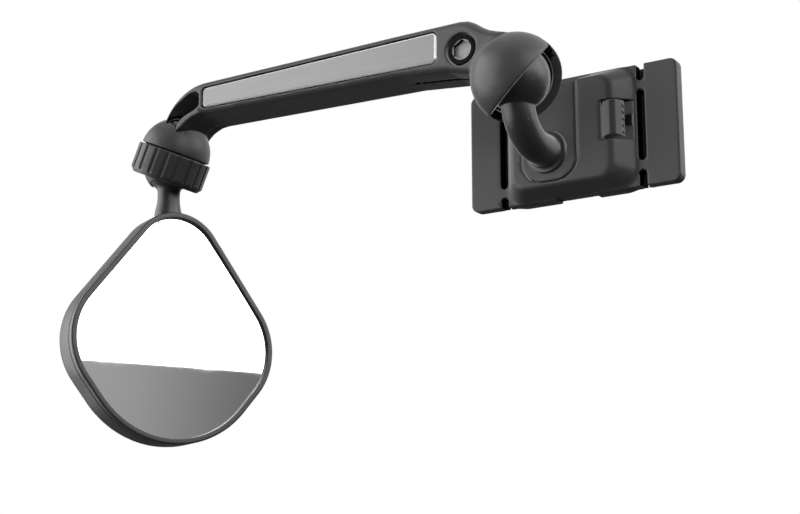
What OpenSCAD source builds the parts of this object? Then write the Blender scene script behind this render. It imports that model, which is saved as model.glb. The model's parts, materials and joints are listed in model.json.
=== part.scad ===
// Helmet mirror with an adhesive and strap base, a pinch-clamp ball arm and a teardrop mirror.
// Millimetres. X runs along the base, the arm reaches towards -X. Z is up.
// The back of the base lies on the plane y = 0 and everything stands in front of it, towards -Y.

/* [Base plate] */
// length of the base plate
plate_w = 50.6; // [49:0.1:54]
// height of the base plate
plate_h = 27.5; // [27:0.1:29]
// front face of the plate, measured from the mounting face
plate_front = 3.25; // [3.1:0.05:3.4]
// thickness of the foam pad behind the plate
pad_t = 0.6; // [0.4:0.05:0.8]
// width of each strap slot
slot_w = 1.85; // [1.5:0.05:2.1]
// length of the long strap slot on the latch's side; the other is 2.8 longer
slot_len = 16; // [14:0.5:17]
// distance of the slots from the middle of the plate
slot_x = 16.7; // [16.7:0.1:17.5]

/* [Receiver] */
// height of the receiver face above the mounting face
face_y = 7.25; // [7:0.05:7.6]
// half of the tongue's width
tongue_half = 6.7; // [6.2:0.1:6.9]
// clearance round the tongue
slide_gap = 0.25; // [0.2:0.01:0.3]
// travel of the release latch
latch_travel = 0.9; // [0.7:0.05:0.9]

/* [Arm ball joint] */
// radius of the ball on the stem
ball_r = 7.15; // [6.9:0.05:7.2]
// thickness of the friction liner
liner_t = 0.65; // [0.5:0.05:0.8]
// outer radius of the ball clamp
clamp_r = 10; // [9.8:0.1:10.4]
// radius of the stem
stem_r = 3.6; // [3.2:0.1:3.8]
// radius of the bend in the stem
bend_r = 9; // [8.5:0.1:9.5]
// how far the ball stands in front of the mounting face
ball_out = 20.8; // [20.4:0.1:21.4]

/* [Arm] */
// half of the arm's thickness
arm_half = 6.6; // [6.2:0.1:7]
// width of the clamp slit
slit_w = 1; // [0.8:0.1:1.2]
// thickness of the metal inlay
inlay_t = 0.6; // [0.4:0.1:0.8]

/* [Mirror joint] */
// tilt of the lock ring's axis from upright
ring_tilt = 23.9; // [20:0.1:26]
// outer radius of the lock ring
ring_r = 9.05; // [8.9:0.05:9.4]
// number of grip grooves round the lock ring
grooves = 19; // [12:1:22]
// radius of the ball on the mirror stem
mball_r = 5.7; // [5.5:0.05:5.7]

/* [Mirror] */
// angle the mirror is turned to
face_turn = 66; // [40:1:80]
// depth of the mirror shell behind the joint's axis
shell_back = 3.6; // [3.5:0.1:4.2]
// how far the middle of the glass stands in front of the joint's axis
glass_front = 6.5; // [6:0.1:7]
// width of the bezel round the glass
bezel_w = 1.6; // [1.4:0.1:2]
// radius of the convex glass
glass_r = 600; // [500:50:1200]

/* [Hidden] */
$fn = 64;

// base
plate_back = pad_t;
corner_r = 1.8;
pad_inset = 0.3;
tongue_x = -3.5;
tongue_bottom = -10.4;
tongue_top = 11.4;
flange_half = tongue_half + 1.7;
flange_front = 5.1;
flange_back = 3.7;
lip_back = flange_front + slide_gap;
channel_floor = flange_back - 0.2;
window_x = [9.1, 15.05];
window_z = [-3.3, 5.7];
chamber_floor = 3.4;
blade_z = [0, 2.4];
cover_screw_at = [[4.4, -4.5], [4.4, 6.9], [13.6, -4.5], [13.6, 6.9]];

// arm ball
stem_x = -3.9;
boss_z = -4;
drop = 3.9;
ball_z = boss_z + bend_r + drop;
liner_in = ball_r + 0.05;
liner_out = liner_in + liner_t;
cavity_r = liner_out + 0.05;
jaw_turn = 40.8;
jaw_drop = 129.8;
jaw_keep = 0.8;

// arm
arm_front = -ball_out - arm_half;
arm_rear = -ball_out + arm_half;
clamp_x = stem_x - 10;
clamp_z = ball_z + 6.7;
screw_r = 2;
head_r = 3.45;
head_h = 3;
slit_x = stem_x - 24.6;
arm_z = ball_z - 8.9;

// mirror socket
socket = [stem_x - 94.1, -ball_out, ball_z - 0.95];
sink = 4.2;
mball = [socket.x - sink * sin(ring_tilt), -ball_out, socket.z - sink * cos(ring_tilt)];
mliner_in = mball_r + 0.05;
mliner_out = mliner_in + 0.4;
glass_mid = -42;
bolt_z = [-19.5, -26];
bezel_front = glass_front + 0.25;
glass_back = glass_front - 2.25;
collar_r = 7.6;
bore_r = 6.45;

// convex outline round a row of circles [x, z, r], listed anticlockwise
function outward(a, b) =
    let (d = [b.x - a.x, b.y - a.y], len = norm(d), k = (a[2] - b[2]) / len, u = d / len)
    [u.y, -u.x] * sqrt(1 - k * k) + u * k;

module belt(c) {
    n = len(c);
    polygon([for (i = [0:n - 1]) let (a = c[i], b = c[(i + 1) % n], o = outward(a, b))
        each [[a.x, a.y] + o * a[2], [b.x, b.y] + o * b[2]]]);
    for (a = c)
        translate([a.x, a.y])
            circle(r = a[2]);
}

module rounded(x, z, r) {
    belt([[x[0] + r, z[0] + r, r], [x[1] - r, z[0] + r, r], [x[1] - r, z[1] - r, r], [x[0] + r, z[1] - r, r]]);
}

module block(x, z) {
    translate([x[0], z[0]])
        square([x[1] - x[0], z[1] - z[0]]);
}

// extrudes an upright outline (x, z) between two depths in front of the mounting face
module slab(from, to) {
    translate([0, -from, 0])
        rotate([90, 0, 0])
            linear_extrude(to - from)
                children();
}

module rod(x, z, r, from, to) {
    slab(from, to)
        translate([x, z])
            circle(r = r);
}

module cone(x, z, r1, r2, from, to) {
    translate([x, -from, z])
        rotate([90, 0, 0])
            cylinder(r1 = r1, r2 = r2, h = to - from);
}

module edge_bevel(x, b) {
    translate([x, -plate_front, 0])
        rotate([0, 0, 45])
            cube([b * sqrt(2), b * sqrt(2), plate_h + 2], center = true);
}

// the slots on the arm's side reach closer to the long edges
module strap_slots(half, inset) {
    for (s = [-1, 1]) {
        reach = (s < 0 ? slot_len / 2 + 1.4 : slot_len / 2) - inset;
        short = (s < 0 ? 2.35 : 3.75) - inset;
        belt([[s * slot_x, -reach + half, half], [s * slot_x, reach - half, half]]);
        for (t = [-1, 1])
            belt([[s * slot_x, t * (plate_h / 2 - short + half), half], [s * slot_x, t * (plate_h / 2 + 2), half]]);
    }
}

module tongue_plan(half, bottom, top, r) {
    rounded([tongue_x - half, tongue_x + half], [bottom, top], r);
    block([tongue_x - half, tongue_x + half], [0, top]);
}

module receiver() {
    g = slide_gap;
    color("DimGray")
        difference() {
            union() {
                slab(plate_back, plate_front)
                    rounded([-plate_w / 2, plate_w / 2], [-plate_h / 2, plate_h / 2], corner_r);
                hull() {
                    slab(plate_front - 0.4, plate_front)
                        rounded([-15.6, 15.4], [-plate_h / 2 + 0.15, plate_h / 2 - 0.15], 4);
                    slab(face_y - 0.3, face_y)
                        rounded([-12.9, 11.3], [-11.3, 11.5], 3.2);
                }
            }
            slab(0, plate_front + 1)
                strap_slots(slot_w / 2, 0);
            edge_bevel(-plate_w / 2, 0.4);
            edge_bevel(plate_w / 2, 0.4);
            // notch in the lower edge
            slab(0, plate_front + 1)
                block([-3.6, 5.6], [-plate_h / 2 - 1, -plate_h / 2 + 0.3]);
            // slide channel, open at the top
            slab(channel_floor, face_y + 1)
                tongue_plan(tongue_half + g, tongue_bottom - g, plate_h, 5.2 + g);
            slab(channel_floor, lip_back)
                tongue_plan(flange_half + g, -11.2 - g, plate_h, 4.5 + g);
            // latch window and chamber
            slab(chamber_floor, face_y + 1)
                block(window_x, window_z);
            slab(chamber_floor, lip_back)
                block([5, window_x[1]], window_z);
            slab(2.4, channel_floor + 0.1)
                block([3.6, 5.7], [blade_z[0] - 0.4, blade_z[1] + 0.4]);
            // opening in the back, closed by the cover
            slab(1.7, chamber_floor + 0.1)
                block([5.45, 15], [-3.25, 5.65]);
            slab(0, 1.72)
                rounded([3.15, 15.35], [-5.75, 8.15], 0.8);
            for (p = cover_screw_at)
                rod(p.x, p.y, 0.55, 1.5, 3.15);
        }
}

module back_cover() {
    color("SlateGray")
        difference() {
            union() {
                slab(plate_back, 1.7)
                    rounded([3.2, 15.3], [-5.7, 8.1], 0.75);
                slab(1.7, chamber_floor)
                    block([5.5, 14.95], [-3.2, 5.6]);
                slab(chamber_floor, 3.95)
                    block([13.7, 14.95], blade_z);
            }
            for (p = cover_screw_at) {
                rod(p.x, p.y, 0.62, 0, 3);
                cone(p.x, p.y, 1.2, 0.6, plate_back - 0.02, plate_back + 0.6);
            }
        }
}

module cover_screws() {
    color("Silver")
        for (p = cover_screw_at)
            difference() {
                union() {
                    cone(p.x, p.y, 1.15, 0.55, plate_back, plate_back + 0.6);
                    rod(p.x, p.y, 0.54, plate_back, 3.05);
                }
                slab(0, plate_back + 0.25) {
                    translate([p.x, p.y])
                        square([1.3, 0.25], center = true);
                    translate([p.x, p.y])
                        square([0.25, 1.3], center = true);
                }
            }
}

// covers the whole plate; narrow slits let a strap through
module adhesive_pad() {
    x = plate_w / 2 - pad_inset;
    z = plate_h / 2 - pad_inset;
    color("Black")
        difference() {
            slab(0, pad_t)
                rounded([-x, x], [-z, z], corner_r - pad_inset);
            slab(-1, pad_t + 1)
                strap_slots(0.15, 0.4);
        }
}

module release_latch() {
    z = [window_z[0] + 0.3, window_z[1] - 0.3];
    mid = 11.4;
    color("DarkSlateGray")
        difference() {
            union() {
                slab(4.4, flange_front + 0.1)
                    block([5.4, 13.4], z);
                translate([0, 0, z[0]])
                    linear_extrude(z[1] - z[0])
                        polygon([[9.4, -4.4], [9.4, -7.2], [10.2, -7.35], [11.3, -7.45], [12.1, -7.3], [12.8, -6.6], [13.4, -5.7], [13.4, -4.4]]);
                for (i = [0:4])
                    slab(4.8, 5.5)
                        block([13.3, 13.75], [z[0] + 1 + i * 1.5, z[0] + 1.5 + i * 1.5]);
            }
            // arched lower edge
            rod(mid, z[0] - 5.4, 6, 4, 9);
        }
}

module catch_spring() {
    color("Silver")
        slab(3.95, 4.3)
            block([4, 14.9], blade_z);
}

module slide_tongue() {
    color("DimGray")
        difference() {
            union() {
                slab(flange_front - 0.1, face_y)
                    tongue_plan(tongue_half, tongue_bottom, tongue_top, 5.2);
                slab(flange_back, flange_front)
                    tongue_plan(flange_half, -11.2, 12.4, 4.5);
            }
            // notch for the catch
            slab(3, flange_front + 0.3)
                block([tongue_x + flange_half - 1.2, tongue_x + flange_half + 1], [blade_z[0] - 0.3, blade_z[1] + 0.3]);
            // seat and screw hole of the ball stem
            rod(stem_x, boss_z, 2.5, 5.72, face_y + 1);
            rod(stem_x, boss_z, 1.3, 3, face_y);
            cone(stem_x, boss_z, 2.45, 1.25, flange_back - 0.01, flange_back + 1.2);
        }
}

module ball_stem() {
    color("DimGray")
        difference() {
            union() {
                translate([stem_x, -ball_out, ball_z])
                    sphere(r = ball_r);
                translate([stem_x, -ball_out, ball_z - drop])
                    cylinder(r = stem_r, h = drop);
                translate([stem_x, -ball_out + bend_r, ball_z - drop])
                    rotate([0, 90, 0])
                        rotate([0, 0, -90])
                            rotate_extrude(angle = 90)
                                translate([bend_r, 0])
                                    circle(r = stem_r);
                rod(stem_x, boss_z, stem_r, face_y, ball_out - bend_r);
                cone(stem_x, boss_z, 4.9, 4.7, face_y + 0.02, face_y + 0.9);
                cone(stem_x, boss_z, 4.7, stem_r, face_y + 0.9, face_y + 2.4);
                rod(stem_x, boss_z, 2.45, 5.75, face_y + 0.1);
            }
            rod(stem_x, boss_z, 1.05, 5, 10.5);
        }
}

module stem_screw() {
    color("Silver")
        difference() {
            union() {
                cone(stem_x, boss_z, 2.35, 1.15, flange_back + 0.05, flange_back + 1.25);
                rod(stem_x, boss_z, 1.02, flange_back + 0.05, 10.2);
            }
            slab(3, flange_back + 0.75) {
                translate([stem_x, boss_z])
                    square([2.6, 0.5], center = true);
                translate([stem_x, boss_z])
                    square([0.5, 2.6], center = true);
            }
        }
}

// what the two jaws leave open: a V on each side of the slit
module jaw_gap(keep) {
    for (s = [-1, 1])
        intersection() {
            translate([stem_x, -ball_out, ball_z])
                rotate([0, jaw_drop, -s * jaw_turn])
                    translate([-20, -20, keep])
                        cube(40);
            translate([stem_x - 20, s > 0 ? -ball_out : -ball_out - 20, ball_z - 20])
                cube([40, 20, 40]);
        }
}

module ball_liner() {
    color("Gray")
        difference() {
            translate([stem_x, -ball_out, ball_z])
                sphere(r = liner_out);
            translate([stem_x, -ball_out, ball_z])
                sphere(r = liner_in);
            jaw_gap(jaw_keep - 0.5);
            // split that lets the liner close on the ball
            translate([stem_x - 12, -ball_out - 0.3, ball_z - 12])
                cube([12, 0.6, 13]);
        }
}

module arm_plan() {
    t = arm_z;
    elbow = 13.4;
    polygon([
        // elbow that turns down to the socket
        for (a = [90:6:156])
            [-84.6 + elbow * cos(a), t + 8.55 + elbow * sin(a)],
        [-97.2, t + 10], [-91.2, t + 8.4], [-91.4, t + 11.2], [-90.4, t + 12.6], [-88.6, t + 13.5], [-86, t + 13.8],
        // underside and the end that carries the clamp
        [-58, t + 13.3], [-30, t + 12.6], [-17.5, t + 11.4], [-11.5, t + 9.8], [-8, t + 7.5], [-3.9, t + 8.9],
        [-3.9, t + 17.9], [-5.5, t + 18.3], [-7.4, t + 18.9], [-8.9, t + 19.7], [-9.9, t + 20.5],
        [-11.1, t + 21.4], [-12.6, t + 22.1], [-14.5, t + 22.4], [-30, t + 22.4], [-58, t + 22.15]
    ]);
}

module inlay_plan(grow) {
    t = arm_z;
    r = 1.3 + grow;
    belt([[-83.4, t + 16.7, r], [-21.5, t + 15.2, r], [-21.5, t + 19.4, r], [-83.4, t + 18.75, r]]);
}

module on_socket() {
    translate(socket)
        rotate([0, ring_tilt, 0])
            children();
}

module arm_body() {
    t = arm_z;
    color("DimGray")
        difference() {
            union() {
                difference() {
                    slab(-arm_rear, -arm_front)
                        arm_plan();
                    // deep window in the elbow
                    slab(-arm_front - 8.8, -arm_front + 1)
                        polygon([[-96.1, t + 13.9], [-94.2, t + 16], [-91.4, t + 18.1], [-88.2, t + 19.5],
                            [-86.4, t + 19.4], [-85.7, t + 18.2], [-85.8, t + 16.3], [-87.4, t + 14.6],
                            [-89.6, t + 13.2], [-92.9, t + 10.8]]);
                }
                translate([stem_x, -ball_out, ball_z])
                    sphere(r = clamp_r);
                on_socket() {
                    intersection() {
                        sphere(r = 8.4);
                        cylinder(r = 9, h = 9);
                    }
                    translate([0, 0, -6])
                        cylinder(r = collar_r, h = 7);
                }
            }
            // ball cavity, jaws and slit
            translate([stem_x, -ball_out, ball_z])
                sphere(r = cavity_r);
            jaw_gap(jaw_keep);
            translate([slit_x, -ball_out - slit_w / 2, ball_z - 20])
                cube([60, slit_w, 40]);
            translate([slit_x, -ball_out, ball_z - 20])
                cylinder(r = slit_w * 0.8, h = 40);
            // clamp screw and nut
            rod(clamp_x, clamp_z, screw_r + 0.15, 0, 40);
            rod(clamp_x, clamp_z, head_r + 0.2, -arm_front - head_h - 0.9, 40);
            slab(-arm_rear - 1, -arm_rear + 3.4)
                translate([clamp_x, clamp_z])
                    circle(r = 4.1, $fn = 6);
            // inlay seat
            slab(-arm_front - inlay_t - 0.1, -arm_front + 1)
                inlay_plan(0.15);
            // socket for the mirror ball, with split fingers in the collar
            on_socket() {
                translate([0, 0, -8])
                    cylinder(r = bore_r, h = 12);
                for (a = [0, 60, 120])
                    rotate([0, 0, a])
                        translate([-9, -0.4, -7])
                            cube([18, 0.8, 5]);
            }
        }
}

module clamp_screw() {
    top = -arm_front - 0.4;
    color("Silver")
        difference() {
            union() {
                rod(clamp_x, clamp_z, head_r, top - head_h, top - 0.3);
                cone(clamp_x, clamp_z, head_r, head_r - 0.3, top - 0.3, top);
                rod(clamp_x, clamp_z, screw_r, -arm_rear + 0.3, top - 1);
            }
            slab(top - 2.2, top + 1)
                translate([clamp_x, clamp_z])
                    rotate(90)
                        circle(r = 4 / sqrt(3), $fn = 6);
        }
}

module clamp_washer() {
    color("Silver")
        difference() {
            rod(clamp_x, clamp_z, 3.5, -arm_front - head_h - 0.9, -arm_front - head_h - 0.45);
            rod(clamp_x, clamp_z, 2.1, 0, 40);
        }
}

module clamp_nut() {
    color("Silver")
        difference() {
            slab(-arm_rear + 0.2, -arm_rear + 3.4)
                translate([clamp_x, clamp_z])
                    circle(r = 4.04, $fn = 6);
            rod(clamp_x, clamp_z, screw_r + 0.03, 0, 40);
        }
}

module inlay_tape() {
    color("White")
        slab(-arm_front - inlay_t - 0.1, -arm_front - inlay_t + 0.02)
            inlay_plan(-0.3);
}

module inlay_plate() {
    color("Silver")
        slab(-arm_front - inlay_t + 0.02, -arm_front - 0.02)
            inlay_plan(0);
}

module lock_ring() {
    top = -0.35;
    low = -7.6;
    color("DimGray")
        on_socket()
            difference() {
                rotate_extrude()
                    polygon([[0, top], [ring_r - 0.3, top], [ring_r, top - 0.3], [ring_r, low + 2],
                        [ring_r - 1.3, low], [0, low]]);
                translate([0, 0, low + 1.5])
                    cylinder(r = collar_r + 0.1, h = 9);
                translate([0, 0, -sink])
                    sphere(r = mliner_out + 0.1);
                translate([0, 0, low - 1])
                    cylinder(r = 5.2, h = 4);
                for (i = [0:grooves - 1])
                    rotate([0, 0, i * 360 / grooves])
                        translate([ring_r + 0.12, 0, low - 1])
                            cylinder(r = 0.5, h = 9);
            }
}

module seat_spring() {
    color("Silver")
        on_socket()
            difference() {
                union() {
                    translate([0, 0, 3.45])
                        cylinder(r = 5.6, h = 0.35);
                    for (a = [0, 120, 240])
                        rotate([0, 0, a])
                            translate([4.5, 0, 3.05])
                                cylinder(r = 0.7, h = 0.6);
                }
                translate([0, 0, 3])
                    cylinder(r = 3.4, h = 2);
                translate([-8, -0.5, 3])
                    cube([5, 1, 2]);
            }
}

module friction_seat() {
    color("White")
        on_socket()
            difference() {
                translate([0, 0, -1.8])
                    cylinder(r = bore_r - 0.1, h = 4.8);
                translate([0, 0, -sink])
                    sphere(r = mliner_out + 0.05);
                cylinder(r = 2, h = 9);
            }
}

module mirror_liner() {
    color("Gray")
        translate(mball)
            difference() {
                sphere(r = mliner_out);
                sphere(r = mliner_in);
                // open below for the stem, split at one side
                translate([0, 0, -10])
                    cylinder(r = 4.6, h = 10);
                translate([-10, -0.3, -10])
                    cube([10, 0.6, 13]);
            }
}

module mirror_stem() {
    color("DimGray")
        translate(mball) {
            sphere(r = mball_r);
            rotate_extrude()
                polygon([[0, -3], [2.85, -4.5], [2.72, -6], [2.68, -7.2], [2.75, -8.6], [2.95, -9.8], [3.2, -10.8],
                    [3.3, -12], [3.3, -16], [0, -16]]);
            rotate([0, 0, face_turn])
                difference() {
                    slab(-1.2, 1.2) {
                        rounded([-5.5, 5.5], [-29, -17.6], 1.5);
                        block([-3, 3], [-19, -14]);
                    }
                    for (z = bolt_z)
                        rod(0, z, 0.8, -2, 0.6);
                }
        }
}

module on_mirror() {
    translate(mball)
        rotate([0, 0, face_turn])
            children();
}

module teardrop(grow) {
    belt([[0, -43.9, 22.25 + grow], [9.9, -44.1, 14.4 + grow], [0, -24.3, 10.25 + grow], [-9.9, -44.1, 14.4 + grow]]);
}

// shallow dome, in narrow rings
module glass_cap() {
    steps = 10;
    reach = 34;
    translate([0, 0, glass_mid])
        rotate([90, 0, 0])
            rotate_extrude($fn = 96)
                polygon([[0, 0], [reach, 0], for (i = [steps:-1:0])
                    [reach * i / steps, glass_front - pow(reach * i / steps, 2) / (2 * glass_r)]]);
}

module back_shell() {
    b = shell_back;
    rim = bezel_front - 1.68;
    color("DimGray")
        on_mirror()
            difference() {
                union() {
                    difference() {
                        hull() {
                            slab(0.6, rim)
                                teardrop(bezel_w);
                            slab(-b + 2.2, -b + 2.3)
                                teardrop(bezel_w - 0.5);
                            slab(-b + 0.8, -b + 0.9)
                                teardrop(bezel_w - 1.8);
                            slab(-b, -b + 0.1)
                                teardrop(bezel_w - 3.8);
                        }
                        hull() {
                            slab(0.5, rim + 1)
                                teardrop(bezel_w - 0.9);
                            slab(-b + 1.2, -b + 1.3)
                                teardrop(bezel_w - 4.3);
                        }
                    }
                    // screw posts and ribs behind the glass
                    for (z = bolt_z)
                        rod(0, z, 2.4, -b + 0.9, -1.25);
                    for (x = [-11, 11])
                        slab(-b + 0.9, glass_back - 1.1)
                            block([x - 0.6, x + 0.6], [-55, -33]);
                }
                translate([0, 0, -16])
                    cylinder(r = 3.35, h = 12);
                for (z = bolt_z) {
                    rod(0, z, 0.95, -b - 1, 0);
                    rod(0, z, 1.8, -b - 1, -b + 1.1);
                }
            }
}

module bezel() {
    f = bezel_front;
    color("Black")
        on_mirror()
            difference() {
                union() {
                    slab(f - 1.66, f - 0.5)
                        teardrop(bezel_w);
                    slab(f - 0.51, f)
                        teardrop(bezel_w - 0.4);
                    slab(f - 3.2, f - 1.6)
                        teardrop(bezel_w - 0.95);
                }
                slab(1, f + 1)
                    teardrop(-0.35);
                slab(1, f - 0.59)
                    teardrop(0.23);
            }
}

module mirror_glass() {
    color("Silver")
        on_mirror()
            intersection() {
                slab(glass_back, bezel_front)
                    teardrop(0.2);
                glass_cap();
            }
}

module glass_pad() {
    color("Black")
        on_mirror()
            slab(glass_back - 1, glass_back - 0.02)
                teardrop(-2);
}

module stem_bolts() {
    b = shell_back;
    color("Silver")
        on_mirror()
            for (z = bolt_z)
                difference() {
                    union() {
                        rod(0, z, 1.7, -b + 0.2, -b + 1.1);
                        rod(0, z, 0.78, -b + 0.2, 0.5);
                    }
                    slab(-b - 1, -b + 0.6) {
                        translate([0, z])
                            square([2.2, 0.4], center = true);
                        translate([0, z])
                            square([0.4, 2.2], center = true);
                    }
                }
}

receiver();
back_cover();
cover_screws();
adhesive_pad();
release_latch();
catch_spring();
slide_tongue();
ball_stem();
stem_screw();
ball_liner();
arm_body();
clamp_screw();
clamp_washer();
clamp_nut();
inlay_tape();
inlay_plate();
lock_ring();
seat_spring();
friction_seat();
mirror_liner();
mirror_stem();
back_shell();
bezel();
glass_pad();
mirror_glass();
stem_bolts();
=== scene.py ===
"""Rear-view mirror for a cycling helmet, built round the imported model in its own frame.

The mirror is made as its maker would list it: a base with a release latch, a foot with a ball stem, a
clamping arm with a metal inlay, a friction joint under a lock ring, and a teardrop mirror head. Moulded
pieces are shaped in a Mould, a block of space that adds and cuts rounded solids. Pieces with a long even
rim, such as the glass and the inlay, are swept round an outline instead. Lengths are in millimetres until a
piece is cast, and metres after that.
"""

import json
import logging
import math
from collections.abc import Callable, Sequence
from dataclasses import dataclass, field
from enum import Enum

import bpy
import numpy as np
import openvdb
from mathutils import Matrix, Vector


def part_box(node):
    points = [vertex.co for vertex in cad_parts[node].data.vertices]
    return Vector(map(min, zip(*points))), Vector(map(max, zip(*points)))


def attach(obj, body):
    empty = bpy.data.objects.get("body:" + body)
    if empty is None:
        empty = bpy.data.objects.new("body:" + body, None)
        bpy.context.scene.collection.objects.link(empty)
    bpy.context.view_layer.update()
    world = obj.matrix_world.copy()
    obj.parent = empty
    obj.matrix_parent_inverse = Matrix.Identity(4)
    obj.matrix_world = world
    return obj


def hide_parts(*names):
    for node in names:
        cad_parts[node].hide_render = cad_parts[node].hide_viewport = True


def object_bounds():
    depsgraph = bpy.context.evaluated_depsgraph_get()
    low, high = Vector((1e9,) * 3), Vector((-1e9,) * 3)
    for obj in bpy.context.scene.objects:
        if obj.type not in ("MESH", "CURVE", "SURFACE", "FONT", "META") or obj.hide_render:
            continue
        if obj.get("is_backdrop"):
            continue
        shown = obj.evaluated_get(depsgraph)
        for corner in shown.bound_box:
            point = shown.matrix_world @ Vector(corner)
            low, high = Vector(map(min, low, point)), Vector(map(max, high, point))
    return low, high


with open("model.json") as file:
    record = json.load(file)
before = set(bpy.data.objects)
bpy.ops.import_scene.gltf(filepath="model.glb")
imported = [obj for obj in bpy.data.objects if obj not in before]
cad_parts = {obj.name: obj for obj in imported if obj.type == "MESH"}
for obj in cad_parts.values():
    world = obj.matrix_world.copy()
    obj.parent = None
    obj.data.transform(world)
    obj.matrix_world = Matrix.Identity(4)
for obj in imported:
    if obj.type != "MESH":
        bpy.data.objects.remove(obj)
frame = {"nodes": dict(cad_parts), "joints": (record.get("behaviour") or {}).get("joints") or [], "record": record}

LOG = logging.getLogger("helmet_mirror")
MM = 0.001
Array = np.ndarray
Point = tuple[float, float, float]
Field = Callable[[Array, Array, Array], Array]


# ---------------------------------------------------------------- outlines


@dataclass(frozen=True)
class Outline:
    """A closed outline in the upright plane, anticlockwise, with its outward directions."""

    points: Array
    normals: Array

    def grown(self, by: float) -> Array:
        """The outline's points moved outward by a distance in mm."""
        return self.points + self.normals * by


def arc(
    centre: Sequence[float], radius: float, start: float, end: float, step: float = 4.0
) -> list[list[float]]:
    """Points along a round stretch.

    Args:
        centre: the arc's centre.
        radius: its radius in mm.
        start: the angle it starts at, in degrees.
        end: the angle it ends at, in degrees.
        step: the most degrees between two points.

    Returns:
        The points, both ends included.
    """
    count = max(1, math.ceil(abs(end - start) / step))
    angles = [math.radians(start + (end - start) * i / count) for i in range(count + 1)]
    return [[centre[0] + radius * math.cos(a), centre[1] + radius * math.sin(a)] for a in angles]


def belt(circles: Sequence[Sequence[float]], stretch: float = 1.5) -> Outline:
    """The tight outline round a row of circles, as a belt lies round pulleys.

    Args:
        circles: each circle as x, z and radius, anticlockwise.
        stretch: the longest straight piece between two points, in mm.

    Returns:
        The outline, with straight stretches cut into short even pieces.
    """
    rows = np.array(circles, float)
    turns = []
    for a, b in zip(rows, np.roll(rows, -1, axis=0)):
        d = b[:2] - a[:2]
        length = float(np.hypot(*d))
        k = (a[2] - b[2]) / length
        u = d / length
        out = np.array([u[1], -u[0]]) * math.sqrt(1 - k * k) + u * k
        turns.append(math.degrees(math.atan2(out[1], out[0])))
    points, normals = [], []
    for i, (x, z, r) in enumerate(rows):
        start, end = turns[i - 1], turns[i]
        while end < start - 1e-6:
            end += 360.0
        for px, pz in arc((x, z), r, start, end, 3.0):
            points.append([px, pz])
            normals.append([(px - x) / r, (pz - z) / r])
        j = (i + 1) % len(rows)
        last = np.array(points[-1])
        out = np.array(normals[-1])
        first = rows[j][:2] + out * rows[j][2]
        pieces = int(np.hypot(*(first - last)) // stretch)
        for s in range(1, pieces):
            points.append(list(last + (first - last) * s / pieces))
            normals.append(list(out))
    return Outline(np.array(points), np.array(normals))


def rounded_box(x: Sequence[float], z: Sequence[float], r: float) -> Array:
    """The points of an upright rectangle with rounded corners."""
    return belt(
        [
            [x[0] + r, z[0] + r, r],
            [x[1] - r, z[0] + r, r],
            [x[1] - r, z[1] - r, r],
            [x[0] + r, z[1] - r, r],
        ]
    ).points


def rectangle(x: Sequence[float], z: Sequence[float]) -> Array:
    """The points of a plain upright rectangle."""
    return np.array([[x[0], z[0]], [x[1], z[0]], [x[1], z[1]], [x[0], z[1]]], float)


def eased(corners: Sequence[Sequence[float]], radii: Sequence[float], steps: int = 4) -> list[list[float]]:
    """A closed profile with its corners rounded.

    Args:
        corners: the sharp corners in order.
        radii: the radius at each corner, 0 to keep it sharp.
        steps: the points along each round.

    Returns:
        The profile's points.
    """
    rows = np.array(corners, float)
    made = []
    for i, corner in enumerate(rows):
        a, b = rows[i - 1] - corner, rows[(i + 1) % len(rows)] - corner
        la, lb = np.hypot(*a), np.hypot(*b)
        if radii[i] <= 0:
            made.append(list(corner))
            continue
        half = math.acos(float(np.clip(a @ b / (la * lb), -1, 1))) / 2
        back = min(radii[i] / math.tan(half), 0.49 * la, 0.49 * lb)
        start, end = corner + a / la * back, corner + b / lb * back
        for s in range(steps + 1):
            t = s / steps
            # a quadratic curve that leaves one side and meets the other
            made.append(list(start * (1 - t) ** 2 + corner * 2 * t * (1 - t) + end * t**2))
    return made


# ---------------------------------------------------------------- solids by distance


def outline_distance(u: Array, v: Array, points: Array) -> Array:
    """Signed distance in mm from u, v to a closed outline, negative inside."""
    shape = np.broadcast(u, v).shape
    nearest = np.full(shape, 1e9, np.float32)
    inside = np.zeros(shape, bool)
    for a, b in zip(points, np.roll(points, -1, axis=0)):
        e = b - a
        wu, wv = u - a[0], v - a[1]
        t = np.clip((wu * e[0] + wv * e[1]) / max(float(e @ e), 1e-12), 0, 1)
        nearest = np.minimum(nearest, (wu - e[0] * t) ** 2 + (wv - e[1] * t) ** 2)
        if abs(e[1]) > 1e-9:
            crosses = ((a[1] <= v) != (b[1] <= v)) & (wu < e[0] * wv / e[1])
            inside ^= crosses
    return np.sqrt(nearest) * np.where(inside, -1, 1).astype(np.float32)


def rounded_corner(side: Array, end: Array, radius: float | Array) -> Array:
    """Joins the distance to a wall and the distance to an end face over a round edge."""
    a, b = side + radius, end + radius
    outer = np.hypot(np.maximum(a, 0), np.maximum(b, 0))
    return outer + np.minimum(np.maximum(a, b), 0) - radius


def smooth_least(a: Array, b: Array, blend: float) -> Array:
    """The lesser of two distances, with a fillet of about the blend's size where they meet."""
    if blend <= 0:
        return np.minimum(a, b)
    h = np.maximum(blend - np.abs(a - b), 0) / blend
    return np.minimum(a, b) - h * h * blend * 0.25


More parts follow.
